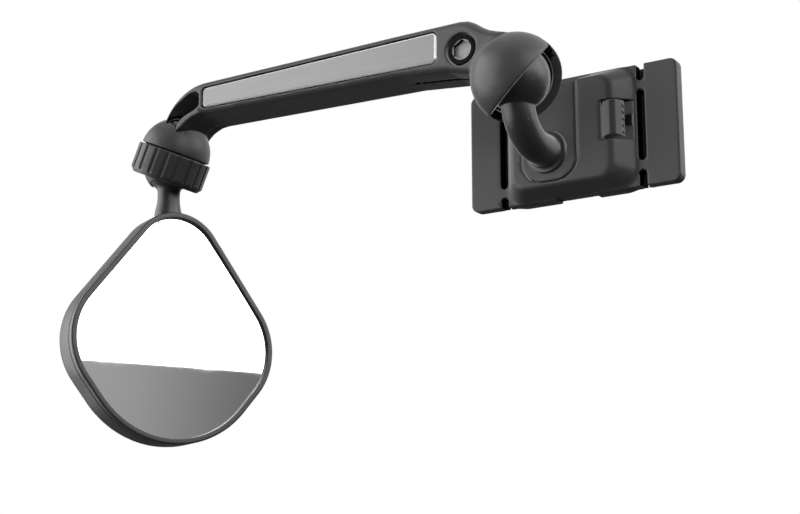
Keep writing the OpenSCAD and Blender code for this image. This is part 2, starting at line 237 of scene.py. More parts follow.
@dataclass(frozen=True)
class Solid:
    """A solid as a signed distance in mm, with the box that holds it."""

    low: Point
    high: Point
    distance: Field

    def placed(self, place: Matrix) -> "Solid":
        """This solid in the frame that place, a rigid matrix in mm, carries it to."""
        back = np.array(place.inverted(), np.float32)
        corners = [
            place @ Vector((x, y, z))
            for x in (self.low[0], self.high[0])
            for y in (self.low[1], self.high[1])
            for z in (self.low[2], self.high[2])
        ]
        low = tuple(min(c[k] for c in corners) for k in range(3))
        high = tuple(max(c[k] for c in corners) for k in range(3))

        def distance(x: Array, y: Array, z: Array) -> Array:
            local = [back[k, 0] * x + back[k, 1] * y + back[k, 2] * z + back[k, 3] for k in range(3)]
            return self.distance(*local)

        return Solid(low, high, distance)


def ball(centre: Sequence[float], radius: float) -> Solid:
    """A solid ball."""
    cx, cy, cz = centre

    def distance(x: Array, y: Array, z: Array) -> Array:
        return np.sqrt((x - cx) ** 2 + (y - cy) ** 2 + (z - cz) ** 2) - radius

    return Solid(tuple(c - radius for c in centre), tuple(c + radius for c in centre), distance)


def bar(
    start: Sequence[float],
    end: Sequence[float],
    radius: float,
    tip: float | None = None,
    edge: float = 0.0,
) -> Solid:
    """A round bar between two points, tapered where the tip's radius differs.

    Args:
        start: the middle of the first end.
        end: the middle of the other end.
        radius: the radius at the first end, in mm.
        tip: the radius at the other end, the same if None.
        edge: the rounding of both rims, in mm.

    Returns:
        The solid.
    """
    a, b = np.array(start, float), np.array(end, float)
    length = float(np.linalg.norm(b - a))
    u = (b - a) / length
    last = radius if tip is None else tip
    slope = (last - radius) / length
    lean = 1 / math.hypot(1, slope)
    reach = max(radius, last)

    def distance(x: Array, y: Array, z: Array) -> Array:
        px, py, pz = x - a[0], y - a[1], z - a[2]
        t = px * u[0] + py * u[1] + pz * u[2]
        radial = np.sqrt(np.maximum(px * px + py * py + pz * pz - t * t, 0))
        side = (radial - radius - slope * t) * lean
        return rounded_corner(side, np.abs(t - length / 2) - length / 2, edge)

    low = tuple(min(a[k], b[k]) - reach for k in range(3))
    high = tuple(max(a[k], b[k]) + reach for k in range(3))
    return Solid(low, high, distance)


def bend(centre: Sequence[float], bend_radius: float, radius: float) -> Solid:
    """The quarter of a round bend that turns from upright, in front, to level, below its centre."""
    cx, cy, cz = centre
    reach = bend_radius + radius

    def distance(x: Array, y: Array, z: Array) -> Array:
        py, pz = y - cy, z - cz
        ring = np.hypot(np.hypot(py, pz) - bend_radius, x - cx) - radius
        return np.maximum(np.maximum(ring, py - 0.05), pz - 0.05)

    return Solid((cx - radius, cy - reach, cz - reach), (cx + radius, cy + 0.1, cz + 0.1), distance)


def slab(
    points: Array, near: float, far: float, near_edge: float = 0.0, far_edge: float | None = None
) -> Solid:
    """An upright outline extruded between two depths in front of the mounting face.

    Args:
        points: the outline, x and z.
        near: the depth of its rear face, in mm in front of the mounting face.
        far: the depth of its front face.
        near_edge: the rounding of the rear face's rim.
        far_edge: the rounding of the front face's rim, the same as the rear's if None.

    Returns:
        The solid.
    """
    front_edge = near_edge if far_edge is None else far_edge
    middle, half = -(near + far) / 2, (far - near) / 2

    def distance(x: Array, y: Array, z: Array) -> Array:
        flat = outline_distance(x, z, points)
        radius = np.where(y > middle, np.float32(near_edge), np.float32(front_edge))
        return rounded_corner(flat, np.abs(y - middle) - half, radius)

    low, high = points.min(0), points.max(0)
    return Solid((low[0], -far, low[1]), (high[0], -near, high[1]), distance)


def sheet(points: Array, low: float, high: float, edge: float = 0.0) -> Solid:
    """An outline in plan, x and y, raised between two heights, with rounded rims."""
    middle, half = (low + high) / 2, (high - low) / 2

    def distance(x: Array, y: Array, z: Array) -> Array:
        return rounded_corner(outline_distance(x, y, points), np.abs(z - middle) - half, edge)

    a, b = points.min(0), points.max(0)
    return Solid((a[0], a[1], low), (b[0], b[1], high), distance)


def turned(profile: Sequence[Sequence[float]]) -> Solid:
    """A profile of radius and height turned about the upright axis."""
    points = np.array(profile, float)
    reach = float(points[:, 0].max())

    def distance(x: Array, y: Array, z: Array) -> Array:
        return outline_distance(np.hypot(x, y), z, points)

    return Solid((-reach, -reach, points[:, 1].min()), (reach, reach, points[:, 1].max()), distance)


def half_space(centre: Sequence[float], normal: Sequence[float], reach: float) -> Solid:
    """Everything on the far side of a plane, within a box round its centre."""
    n = np.array(normal, float) / np.linalg.norm(normal)

    def distance(x: Array, y: Array, z: Array) -> Array:
        return -((x - centre[0]) * n[0] + (y - centre[1]) * n[1] + (z - centre[2]) * n[2])

    return Solid(tuple(c - reach for c in centre), tuple(c + reach for c in centre), distance)


def overlap(*solids: Solid) -> Solid:
    """What all the solids share."""
    low = tuple(max(s.low[k] for s in solids) for k in range(3))
    high = tuple(min(s.high[k] for s in solids) for k in range(3))

    def distance(x: Array, y: Array, z: Array) -> Array:
        made = solids[0].distance(x, y, z)
        for s in solids[1:]:
            made = np.maximum(made, s.distance(x, y, z))
        return made

    return Solid(low, high, distance)


class Mould:
    """A block of space, sampled on an even grid, in which a moulded piece is shaped."""

    def __init__(self, low: Sequence[float], high: Sequence[float], pitch: float) -> None:
        """Clears the block.

        Args:
            low: the piece's lowest corner in mm.
            high: its highest corner in mm.
            pitch: the distance between two samples in mm.
        """
        self.pitch = pitch
        self.low = np.array(low, float) - 3 * pitch
        counts = np.ceil((np.array(high, float) + 3 * pitch - self.low) / pitch).astype(int) + 1
        axes = [(self.low[k] + pitch * np.arange(counts[k])).astype(np.float32) for k in range(3)]
        self.axes = (axes[0][:, None, None], axes[1][None, :, None], axes[2][None, None, :])
        self.solid = np.full(counts, 9.0, np.float32)

    def _near(self, solid: Solid, margin: float) -> tuple[tuple[slice, slice, slice], list[Array]]:
        """The part of the block round a solid, with its coordinates."""
        cuts, own = [], []
        for k in range(3):
            count = self.solid.shape[k]
            a = int(np.floor((solid.low[k] - margin - self.low[k]) / self.pitch))
            b = int(np.ceil((solid.high[k] + margin - self.low[k]) / self.pitch)) + 1
            cuts.append(slice(min(max(a, 0), count), min(max(b, 0), count)))
            index = [slice(None)] * 3
            index[k] = cuts[k]
            own.append(self.axes[k][tuple(index)])
        return tuple(cuts), own

    def add(self, solid: Solid, blend: float = 0.0) -> "Mould":
        """Adds a solid, with a fillet of about the blend's size where it meets the rest."""
        cuts, own = self._near(solid, blend + 4 * self.pitch)
        self.solid[cuts] = smooth_least(self.solid[cuts], solid.distance(*own), blend)
        return self

    def cut(self, solid: Solid, blend: float = 0.0) -> "Mould":
        """Cuts a solid away, with its rim rounded by about the blend's size."""
        cuts, own = self._near(solid, blend + 4 * self.pitch)
        self.solid[cuts] = -smooth_least(-self.solid[cuts], solid.distance(*own), blend)
        return self

    def keep(self, solid: Solid, blend: float = 0.0) -> "Mould":
        """Keeps only what lies inside a solid that spans the block."""
        self.solid = -smooth_least(-self.solid, -solid.distance(*self.axes), blend)
        return self

    def _room(self, points: Array, ways: Array, reach: float) -> Array:
        """How open the space is in front of points in mm, from 0 in a narrow gap to 1 over a flat face."""
        index = np.rint((points + ways * reach - self.low) / self.pitch).astype(int)
        shape = np.array(self.solid.shape)
        beyond = ((index < 0) | (index >= shape)).any(1)
        index = np.clip(index, 0, shape - 1)
        return np.where(beyond, 1.0, self.solid[index[:, 0], index[:, 1], index[:, 2]] / reach)

    def _shade(self, made: bpy.types.Object, points: Array, faces: Sequence[Sequence[int]]) -> None:
        """Puts the faces inside narrow recesses into the second material group, where they are painted near black
        as painted shade.
        """
        corners = points[np.array([f[:3] for f in faces])]
        middle = corners.mean(1)
        ways = np.cross(corners[:, 1] - corners[:, 0], corners[:, 2] - corners[:, 0])
        ways /= np.maximum(np.linalg.norm(ways, axis=1, keepdims=True), 1e-9)
        # faces with little room in front of them are painted near black: painted shade
        closed = (self._room(middle, ways, 1.0) < 0.45) | (self._room(middle, ways, 2.6) < 0.25)
        made.data.polygons.foreach_set("material_index", closed.astype(np.int32))

    def cast(self, name: str, place: Matrix | None = None, detail: float = 0.02) -> bpy.types.Object:
        """Makes the shaped piece, with its narrow recesses in a second material group of painted shade.

        Args:
            name: the piece's name.
            place: a rigid matrix in mm from the mould's frame to the row's, or None.
            detail: how freely flat stretches may share one facet, from 0.

        Returns:
            The new object, in metres.
        """
        grid = openvdb.FloatGrid(1.0)
        band = 2.5 * self.pitch
        grid.copyFromArray(np.clip(self.solid, -band, band))
        points, triangles, quads = grid.convertToPolygons(isovalue=0.0, adaptivity=detail)
        own = points.astype(float) * self.pitch + self.low
        faces = [tuple(int(i) for i in f) for f in (*quads, *triangles)]
        points = own
        if place is not None:
            m = np.array(place, float)
            points = own @ m[:3, :3].T + m[:3, 3]
        made = make_object(name, points * MM, faces)
        self._shade(made, own, faces)
        return made


# ---------------------------------------------------------------- mesh pieces


def make_object(name: str, points: Array, faces: Sequence[Sequence[int]]) -> bpy.types.Object:
    """A smooth-shaded mesh object, with large faces leading its shading.

    Args:
        name: the object's name.
        points: its points in metres.
        faces: the point numbers of each face.

    Returns:
        The object, linked to the scene.
    """
    mesh = bpy.data.meshes.new(name)
    mesh.from_pydata(np.asarray(points, float).tolist(), [], faces)
    mesh.update()
    mesh.shade_smooth()
    made = bpy.data.objects.new(name, mesh)
    bpy.context.scene.collection.objects.link(made)
    weigh = made.modifiers.new("even shading", "WEIGHTED_NORMAL")
    weigh.weight = 60
    weigh.keep_sharp = True
    return made


class Sweep:
    """A mesh built of rings that follow one outline."""

    def __init__(self, outline: Outline) -> None:
        """Starts an empty sweep round an outline."""
        self.outline = outline
        self.points: list[Array] = []
        self.faces: list[tuple[int, ...]] = []
        self.groups: list[int] = []

    def ring(self, grow: float, out: float) -> int:
        """Adds one ring, grown from the outline and out in front, and returns its number."""
        flat = self.outline.grown(grow)
        self.points.append(np.column_stack([flat[:, 0], np.full(len(flat), -out), flat[:, 1]]))
        return len(self.points) - 1

    def own_ring(self, points: Array) -> int:
        """Adds a ring of given points and returns its number."""
        self.points.append(points)
        return len(self.points) - 1

    def join(self, a: int, b: int, group: int = 0) -> None:
        """Joins two rings with faces of one material group."""
        n = len(self.outline.points)
        for i in range(n):
            j = (i + 1) % n
            self.faces.append((a * n + i, a * n + j, b * n + j, b * n + i))
            self.groups.append(group)

    def cap(self, a: int, front: bool, group: int = 0) -> None:
        """Closes a ring with one face."""
        n = len(self.outline.points)
        row = range(n) if front else range(n - 1, -1, -1)
        self.faces.append(tuple(a * n + i for i in row))
        self.groups.append(group)

    def cast(self, name: str, place: Matrix | None = None) -> bpy.types.Object:
        """Makes the swept piece, carried by place from its own frame to the row's."""
        points = np.concatenate(self.points)
        if place is not None:
            m = np.array(place, float)
            points = points @ m[:3, :3].T + m[:3, 3]
        made = make_object(name, points * MM, self.faces)
        made.data.polygons.foreach_set("material_index", self.groups)
        made.data.set_sharp_from_angle(angle=math.radians(35))
        return made


# ---------------------------------------------------------------- the frame's own places


class Body(Enum):
    """The bodies of the frame."""

    BASE = "base"
    LATCH = "latch"
    FOOT = "foot"
    LINER = "liner"
    ARM = "arm"
    CLAMP = "clamp"
    RING = "ring"
    SEAT = "seat"
    CUP = "mirror_cup"
    HEAD = "mirror_head"


def joint_point(name: str) -> Vector:
    """Where a joint of the frame turns, in mm."""
    row = next(j for j in frame["joints"] if j["name"] == name)
    return Vector(row["pos_m"]) / MM


def joint_axis(name: str) -> Vector:
    """The direction that a joint of the frame turns about."""
    row = next(j for j in frame["joints"] if j["name"] == name)
    return Vector(row["axis"]).normalized()


def low_high(node: str) -> tuple[Vector, Vector]:
    """A frame node's lowest and highest corners, in mm."""
    low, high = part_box(node)
    return low / MM, high / MM


def slot_of(node: str) -> str:
    """The record's material slot of a frame node."""
    rows = frame["record"]["subparts"]
    return next(r["material_slot"] for r in rows if r["node"] == node)


def body_of(node: str) -> Body:
    """The frame body that a node belongs to."""
    bodies = frame["record"]["behaviour"]["bodies"]
    return Body(next(body for body, nodes in bodies.items() if node in nodes))


# ---------------------------------------------------------------- finishes


class Nodes:
    """A short way to lay out one material's or world's nodes."""

    def __init__(self, tree: bpy.types.NodeTree) -> None:
        """Clears the tree and keeps it."""
        self.tree = tree
        tree.nodes.clear()

    def add(self, kind: str, settings: dict[str, object] | None = None, **inputs: object) -> bpy.types.Node:
        """Adds a node.

        Args:
            kind: the node's type without its ShaderNode prefix.
            settings: its own properties.
            inputs: values or output sockets, by the input's name with _ for each space.

        Returns:
            The node.
        """
        node = self.tree.nodes.new("ShaderNode" + kind)
        for key, value in (settings or {}).items():
            setattr(node, key, value)
        for key, value in inputs.items():
            socket = self._socket(node, key)
            if isinstance(value, bpy.types.NodeSocket):
                self.tree.links.new(value, socket)
            else:
                socket.default_value = value
        return node

    @staticmethod
    def _socket(node: bpy.types.Node, key: str) -> bpy.types.NodeSocket:
        """The input named by key, or numbered by it as in_0."""
        if key.startswith("in_"):
            return node.inputs[int(key[3:])]
        wanted = key.replace("_", " ")
        return next(s for s in node.inputs if s.enabled and s.name == wanted)

    def math(self, operation: str, *values: object, clamp: bool = False) -> bpy.types.NodeSocket:
        """A math node's result from values or sockets."""
        inputs = {f"in_{i}": v for i, v in enumerate(values)}
        return self.add("Math", {"operation": operation, "use_clamp": clamp}, **inputs).outputs[0]

    def ramp(
        self,
        value: bpy.types.NodeSocket,
        low: float,
        high: float,
        to_low: float = 0.0,
        to_high: float = 1.0,
    ) -> bpy.types.NodeSocket:
        """A value carried smoothly from one range to another."""
        settings = {"interpolation_type": "SMOOTHSTEP"}
        inputs = {"Value": value, "From_Min": low, "From_Max": high, "To_Min": to_low, "To_Max": to_high}
        return self.add("MapRange", settings, **inputs).outputs["Result"]

    def mix(self, share: object, a: object, b: object) -> bpy.types.NodeSocket:
        """A colour between a and b."""
        settings = {"data_type": "RGBA", "clamp_factor": True}
        return self.add("Mix", settings, Factor=share, A=a, B=b).outputs["Result"]


def colour(level: float, warmth: float = 0.0) -> tuple[float, float, float, float]:
    """A near-neutral colour of a given brightness, from cool to warm."""
    return (level * (1 + warmth), level, level * (1 - warmth), 1.0)


@dataclass(frozen=True)
class MouldedPlastic:
    """Dark glass-filled nylon with the even grain of its steel tool, rubbed a little at its edges."""

    name: str
    level: float = 0.04
    roughness: float = 0.4
    grain: float = 0.22
    relief: float = 0.012
    rubbed: float = 0.35
    shine: float = 0.5

    def build(self) -> bpy.types.Material:
        """Makes the material."""
        made = bpy.data.materials.new(self.name)
        made.use_nodes = True
        n = Nodes(made.node_tree)
        where = n.add("TexCoord").outputs["Object"]
        per_mm = 1 / MM
        fine = n.add("TexNoise", Vector=where, Scale=per_mm / self.grain, Detail=2.0, Roughness=0.55)
        cloud = n.add("TexNoise", Vector=where, Scale=per_mm / 9.0, Detail=3.0, Roughness=0.6)
        scuff = n.add("TexNoise", Vector=where, Scale=per_mm / 1.6, Detail=4.0, Roughness=0.7)
        worn_edge = n.ramp(n.add("NewGeometry").outputs["Pointiness"], 0.53, 0.62)
        wear = n.math("MULTIPLY", worn_edge, n.ramp(scuff.outputs["Fac"], 0.4, 0.7, 0.35, 1.0))
        wear = n.math("MULTIPLY", wear, self.rubbed)
        dark, light = colour(self.level * 0.88, -0.02), colour(self.level * 1.12, -0.02)
        body = n.mix(cloud.outputs["Fac"], dark, light)
        tint = n.mix(wear, body, colour(self.level * 2.4, -0.01))
        shine = n.ramp(cloud.outputs["Fac"], 0.3, 0.7, self.roughness - 0.03, self.roughness + 0.04)
        shine = n.math("ADD", shine, n.math("MULTIPLY", fine.outputs["Fac"], 0.05))
        shine = n.math("SUBTRACT", shine, n.math("MULTIPLY", wear, 0.12))
        bump = n.add("Bump", Strength=0.35, Distance=self.relief * MM, Height=fine.outputs["Fac"])
        shader = n.add("BsdfPrincipled", Base_Color=tint, Roughness=shine, Normal=bump.outputs[0], IOR=1.5)
        shader.inputs["Specular IOR Level"].default_value = self.shine
        n.add("OutputMaterial", Surface=shader.outputs[0])
        return made


@dataclass(frozen=True)
class Steel:
    """Machined steel with fine turning marks, bright or blackened."""

    name: str
    level: float = 0.55
    roughness: float = 0.28
    marks: float = 0.12
    metallic: float = 1.0
    shine: float = 0.5

    def build(self) -> bpy.types.Material:
        """Makes the material."""
        made = bpy.data.materials.new(self.name)
        made.use_nodes = True
        n = Nodes(made.node_tree)
        where = n.add("TexCoord").outputs["Object"]
        per_mm = 1 / MM
        marks = n.add("TexNoise", Vector=where, Scale=per_mm / self.marks, Detail=3.0, Roughness=0.6)
        stain = n.add("TexNoise", Vector=where, Scale=per_mm / 1.5, Detail=2.0)
        tint = n.mix(stain.outputs["Fac"], colour(self.level * 0.8), colour(self.level * 1.1))
        shine = n.ramp(marks.outputs["Fac"], 0.3, 0.7, self.roughness - 0.06, self.roughness + 0.08)
        bump = n.add("Bump", Strength=0.3, Distance=0.006 * MM, Height=marks.outputs["Fac"])
        shader = n.add(
            "BsdfPrincipled",
            Base_Color=tint,
            Roughness=shine,
            Metallic=self.metallic,
            Normal=bump.outputs[0],
        )
        shader.inputs["Specular IOR Level"].default_value = self.shine
        n.add("OutputMaterial", Surface=shader.outputs[0])
        return made


@dataclass(frozen=True)
class BrushedInlay:
    """Aluminium brushed along the arm."""

    name: str
    level: float = 0.17
    roughness: float = 0.36

    def build(self) -> bpy.types.Material:
        """Makes the material."""
        made = bpy.data.materials.new(self.name)
        made.use_nodes = True
        n = Nodes(made.node_tree)
        where = n.add("TexCoord").outputs["Object"]
        per_mm = 1 / MM
        along = n.add("Mapping", Vector=where, Scale=(0.04 * per_mm, 6 * per_mm, 14 * per_mm))
        lines = n.add("TexNoise", Vector=along.outputs[0], Scale=1.0, Detail=4.0, Roughness=0.65)
        cloud = n.add("TexNoise", Vector=where, Scale=per_mm / 14, Detail=2.0)
        tint = n.mix(lines.outputs["Fac"], colour(self.level * 0.93), colour(self.level * 1.07))
        shine = n.ramp(lines.outputs["Fac"], 0.3, 0.7, self.roughness - 0.05, self.roughness + 0.06)
        shine = n.math("ADD", shine, n.math("MULTIPLY", cloud.outputs["Fac"], 0.04))
        bump = n.add("Bump", Strength=0.25, Distance=0.004 * MM, Height=lines.outputs["Fac"])
        shader = n.add(
            "BsdfPrincipled", Base_Color=tint, Roughness=shine, Metallic=1.0, Normal=bump.outputs[0]
        )
        n.add("OutputMaterial", Surface=shader.outputs[0])
        return made


@dataclass(frozen=True)
class MirrorGlass:
    """Silvered glass: a clean mirror under a faint film."""

    name: str
    level: float = 0.97
    roughness: float = 0.015

    def build(self) -> bpy.types.Material:
        """Makes the material."""
        made = bpy.data.materials.new(self.name)
        made.use_nodes = True
        n = Nodes(made.node_tree)
        where = n.add("TexCoord").outputs["Object"]
        film = n.add("TexNoise", Vector=where, Scale=1 / MM / 11, Detail=4.0, Roughness=0.6)
        shine = n.ramp(film.outputs["Fac"], 0.4, 0.8, self.roughness, self.roughness + 0.02)
        tint = n.mix(film.outputs["Fac"], colour(self.level, -0.003), colour(self.level * 0.985, -0.003))
        shader = n.add("BsdfPrincipled", Base_Color=tint, Roughness=shine, Metallic=1.0)
        n.add("OutputMaterial", Surface=shader.outputs[0])
        return made


@dataclass(frozen=True)
class Foam:
    """Closed-cell foam: dull, with fine open pores on its cut face."""

    name: str
    level: float = 0.02
    pore: float = 0.35

    def build(self) -> bpy.types.Material:
        """Makes the material."""
        made = bpy.data.materials.new(self.name)
        made.use_nodes = True
        n = Nodes(made.node_tree)
        where = n.add("TexCoord").outputs["Object"]
        per_mm = 1 / MM
        cells = n.add("TexVoronoi", Vector=where, Scale=per_mm / self.pore)
        dust = n.add("TexNoise", Vector=where, Scale=per_mm / 3, Detail=3.0)
        # the pores are coloured darker toward their sunken middles: painted shade in the pores
        depth = n.ramp(cells.outputs["Distance"], 0.05, 0.5)
        tint = n.mix(depth, colour(self.level * 0.5), colour(self.level * 1.5))
        tint = n.mix(n.ramp(dust.outputs["Fac"], 0.5, 0.8, 0.0, 0.2), tint, colour(self.level * 3))
        bump = n.add("Bump", Strength=0.8, Distance=0.08 * MM, Height=depth)
        shader = n.add("BsdfPrincipled", Base_Color=tint, Roughness=0.95, Normal=bump.outputs[0])
        n.add("OutputMaterial", Surface=shader.outputs[0])
        return made


FINISHES = {
    "base_plastic": MouldedPlastic("base nylon", level=0.045, shine=0.42),
    "latch_plastic": MouldedPlastic("latch nylon", level=0.036),
    # The stem nylon is darker than the base nylon: painted shade for the shadow the arm's ball casts on the
    # tongue.
    "stem_plastic": MouldedPlastic("stem nylon", level=0.03, roughness=0.34, relief=0.006),
    "arm_plastic": MouldedPlastic("arm nylon", level=0.055, shine=0.45),
    "ring_plastic": MouldedPlastic("ring nylon", level=0.036),
    "shell_plastic": MouldedPlastic("shell nylon", level=0.04),
    "bezel_plastic": MouldedPlastic("bezel nylon", level=0.036, roughness=0.34, relief=0.006),
    "liner": MouldedPlastic("liner acetal", level=0.02, roughness=0.4, relief=0.003, rubbed=0.0),
    "tape": MouldedPlastic("adhesive film", level=0.6, roughness=0.5, relief=0.004, rubbed=0.0),
    "foam": Foam("base foam"),
    "steel": Steel("screw steel"),
    "spring_steel": Steel("spring steel", level=0.5, roughness=0.2),
    "inlay": BrushedInlay("brushed aluminium"),
    "mirror": MirrorGlass("silvered glass"),
}
# Near-black nylon without shine for the faces in narrow recesses: painted shade where slots, slits and windows
# fall dark.
RECESS_SHADE = MouldedPlastic(
    "nylon in recesses", level=0.006, roughness=0.8, relief=0.004, rubbed=0.0, shine=0.0
)
BLACK_OXIDE = Steel("blackened steel", level=0.006, roughness=0.6, metallic=0.0, shine=0.06)
# Light grey for the screw socket's floor and rim: a painted highlight for the light they reflect.
SOCKET_HIGHLIGHT = Steel("socket steel with painted highlight", level=0.4, roughness=0.45, metallic=0.0)
# Near-white aluminium for the inlay's bevel and sides: a real polished edge, made brighter as a painted highlight.
POLISHED_EDGE_HIGHLIGHT = Steel("polished aluminium edge", level=0.9, roughness=0.35, metallic=0.35)


Finish = MouldedPlastic | Steel | BrushedInlay | MirrorGlass | Foam


class Workshop:
    """Builds each finish once and fits finished pieces to the frame."""

    def __init__(self) -> None:
        """Starts with no finish built."""
        self.built: dict[str, bpy.types.Material] = {}

    def finish(self, kind: Finish) -> bpy.types.Material:
        """The material of a finish."""
        if kind.name not in self.built:
            self.built[kind.name] = kind.build()
        return self.built[kind.name]

    def fit(self, piece: bpy.types.Object, node: str, *extra: Finish) -> bpy.types.Object:
        """Dresses a piece, stands it for its frame node and lets it ride on that node's body.

        Args:
            piece: the finished piece, in place.
            node: the frame node it stands for.
            extra: finishes for its further material groups, the painted recess shade if none.

        Returns:
            The piece.
        """
        slot = slot_of(node)
        for kind in (FINISHES[slot], *(extra or (RECESS_SHADE,))):
            piece.data.materials.append(self.finish(kind))
        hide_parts(node)
        body = body_of(node).value
        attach(piece, body)
        LOG.info("%s: %d faces, rides on %s", piece.name, len(piece.data.polygons), body)
        return piece

    def dress(self, node: str, edge: float = 0.08, kind: Steel | None = None) -> None:
        """Gives a frame node that keeps its own shape its finish and softened edges.

        Args:
            node: the frame node.
            edge: the width of its softened edges, in mm.
            kind: a finish in place of its slot's own.
        """
        shown = frame["nodes"][node]
        shown.data.materials.clear()
        shown.data.materials.append(self.finish(kind or FINISHES[slot_of(node)]))
        weld = shown.modifiers.new("weld", "WELD")
        weld.merge_threshold = 0.002 * MM
        soften = shown.modifiers.new("soft edges", "BEVEL")
        soften.width = edge * MM
        soften.segments = 2
        soften.limit_method = "ANGLE"
        soften.angle_limit = math.radians(35)
        soften.harden_normals = True
        shown.visible_glossy = False
        LOG.info("%s keeps its own shape", node)


# ---------------------------------------------------------------- base


@dataclass
class Base:
    """The base: a slotted plate with a raised receiver, on a foam pad.

    Its pieces, like the foot's and the arm's, are kept out of glossy rays, so that the mirror shows only
    the studio.
    """

    plate_front: float = 3.25
    face: float = 7.25
    corner: float = 1.8
    edge: float = 0.35
    slot_half: float = 0.925
    slot_x: float = 16.7
    tongue_half: float = 6.7
    tongue_x: float = -3.5
    gap: float = 0.25
    lip: float = 5.35
    window_x: tuple[float, float] = (9.1, 15.05)
    window_z: tuple[float, float] = (-3.3, 5.7)
    foot_x: tuple[float, float] = (-15.6, 15.4)
    head_x: tuple[float, float] = (-12.9, 11.3)
    head_z: tuple[float, float] = (-11.3, 11.5)

    def housing(self, half_height: float) -> Solid:
        """The raised block, whose four walls lean in towards its face."""
        rise = self.face - self.plate_front
        foot_z = (-half_height + 0.15, half_height - 0.15)

        def distance(x: Array, y: Array, z: Array) -> Array:
            share = np.clip((-y - self.plate_front) / rise, -0.2, 1.2)
            a, b = self.foot_x, self.head_x
            c, d = foot_z, self.head_z
            corner = 4 - 0.8 * share
            x0, x1 = a[0] + (b[0] - a[0]) * share, a[1] + (b[1] - a[1]) * share
            z0, z1 = c[0] + (d[0] - c[0]) * share, c[1] + (d[1] - c[1]) * share
            wide = np.abs(x - (x0 + x1) / 2) - (x1 - x0) / 2
            tall = np.abs(z - (z0 + z1) / 2) - (z1 - z0) / 2
            side = rounded_corner(wide, tall, corner)
            return rounded_corner(side * 0.88, -y - self.face, 0.7)

        low = (self.foot_x[0] - 1, -self.face, foot_z[0] - 1)
        high = (self.foot_x[1] + 1, -self.plate_front + 1.5, foot_z[1] + 1)
        return Solid(low, high, distance)

    def slots(self, half_height: float, r: float, inset: float = 0.0) -> list[Array]:
        """The outlines of the strap slots: one long and two open short ones at each end.

        Args:
            half_height: half the height of the piece they cross, in mm.
            r: half their width.
            inset: how much less far they reach.

        Returns:
            The outlines.
        """
        made = []
        for side, reach, short in ((-1, 9.4, 2.35), (1, 8.0, 3.75)):
            x = side * self.slot_x
            end_z = reach - inset - r
            made.append(belt([[x, -end_z, r], [x, end_z, r]]).points)
            for end in (-1, 1):
                rows = [[x, end * (half_height - short + inset + r), r], [x, end * (half_height + 2), r]]
                made.append(belt(rows[::end]).points)
        return made

    def tongue_plan(self, half: float, bottom: float, top: float, r: float) -> Array:
        """A tongue's outline: square at the top, round at the bottom."""
        x = self.tongue_x
        tip = 0.2
        lower = [[x - half + r, bottom + r, r], [x + half - r, bottom + r, r]]
        upper = [[x + half - tip, top - tip, tip], [x - half + tip, top - tip, tip]]
        return belt(lower + upper).points

    def receiver(self) -> bpy.types.Object:
        """The plate and receiver in one moulding."""
        low, high = low_high("receiver")
        half = high.z
        ends = (low.x, high.x)
        mould = Mould(low, high, 0.16)
        plate = rounded_box(ends, (-half, half), self.corner)
        mould.add(slab(plate, 0.6, self.plate_front, 0.15, self.edge))
        mould.add(self.housing(half), 0.5)
        for points in self.slots(half, self.slot_half):
            mould.cut(slab(points, -1, self.face), 0.12)
        notch = slab(rectangle((-3.6, 5.6), (-half - 1, -half + 0.3)), -1, self.plate_front + 1)
        mould.cut(notch, 0.15)
        wide, tall = self.tongue_half + self.gap, 20.0
        mould.cut(slab(self.tongue_plan(wide, -10.65, tall, 5.45), 3.5, 9), 0.16)
        mould.cut(slab(self.tongue_plan(wide + 1.7, -11.45, tall, 4.75), 3.5, self.lip))
        mould.cut(slab(rectangle(self.window_x, self.window_z), 3.4, 9), 0.2)
        mould.cut(slab(rectangle((5, self.window_x[1]), self.window_z), 3.4, self.lip))
        mould.cut(slab(rectangle((5.45, 15), (-3.25, 5.65)), 1.7, 3.5))
        mould.cut(slab(rounded_box((3.15, 15.35), (-5.75, 8.15), 0.8), 0, 1.72))
        return mould.cast("receiver_moulding")

    def pad(self) -> bpy.types.Object:
        """The foam pad, with slightly crushed edges."""
        low, high = low_high("adhesive_pad")
        mould = Mould(low, high, 0.12)
        outline = rounded_box((low.x, high.x), (low.z, high.z), self.corner - 0.3)
        mould.add(slab(outline, 0.0, -low.y, 0.12, 0.03))
        for points in self.slots(high.z, 0.15, 0.4):
            mould.cut(slab(points, -1, 2))
        return mould.cast("foam_pad")

    def latch(self) -> bpy.types.Object:
        """The release latch: a ridged thumb tab with an arched lower edge and grip teeth."""
        low, high = low_high("release_latch")
        z0, z1 = low.z, high.z
        mould = Mould(low, high, 0.09)
        mould.add(slab(rectangle((5.4, 13.4), (z0, z1)), 4.48, 5.2, 0.1))
        # a softly ridged back between two flanks
        corners = [[9.4, -4.48], [9.4, -7.05], [11.25, -7.5], [12.5, -7.1], [13.4, -5.6], [13.4, -4.48]]
        back = np.array(eased(corners, [0, 0.5, 0.35, 0.6, 0.5, 0], 5)[::-1])
        mould.add(sheet(back, z0, z1, 0.18), 0.15)
        for i in range(5):
            tooth = z0 + 1 + 1.5 * i
            mould.add(slab(rectangle((13.2, 13.64), (tooth, tooth + 0.5)), 4.8, 5.5, 0.08))
        mould.cut(bar((11.4, -3, z0 - 5.4), (11.4, -10, z0 - 5.4), 6), 0.12)
        return mould.cast("latch_moulding")

    def build(self, shop: Workshop) -> None:
        """Makes the base's pieces."""
        shop.fit(self.receiver(), "receiver").visible_glossy = False
        shop.fit(self.pad(), "adhesive_pad", FINISHES["foam"]).visible_glossy = False
        shop.fit(self.latch(), "release_latch").visible_glossy = False
        shop.dress("back_cover", 0.1)
        shop.dress("cover_screws", 0.03)
        # the catch spring is blackened, and its near black also stands as painted shade in the latch's window
        shop.dress("catch_spring", 0.04, BLACK_OXIDE)


# ---------------------------------------------------------------- foot


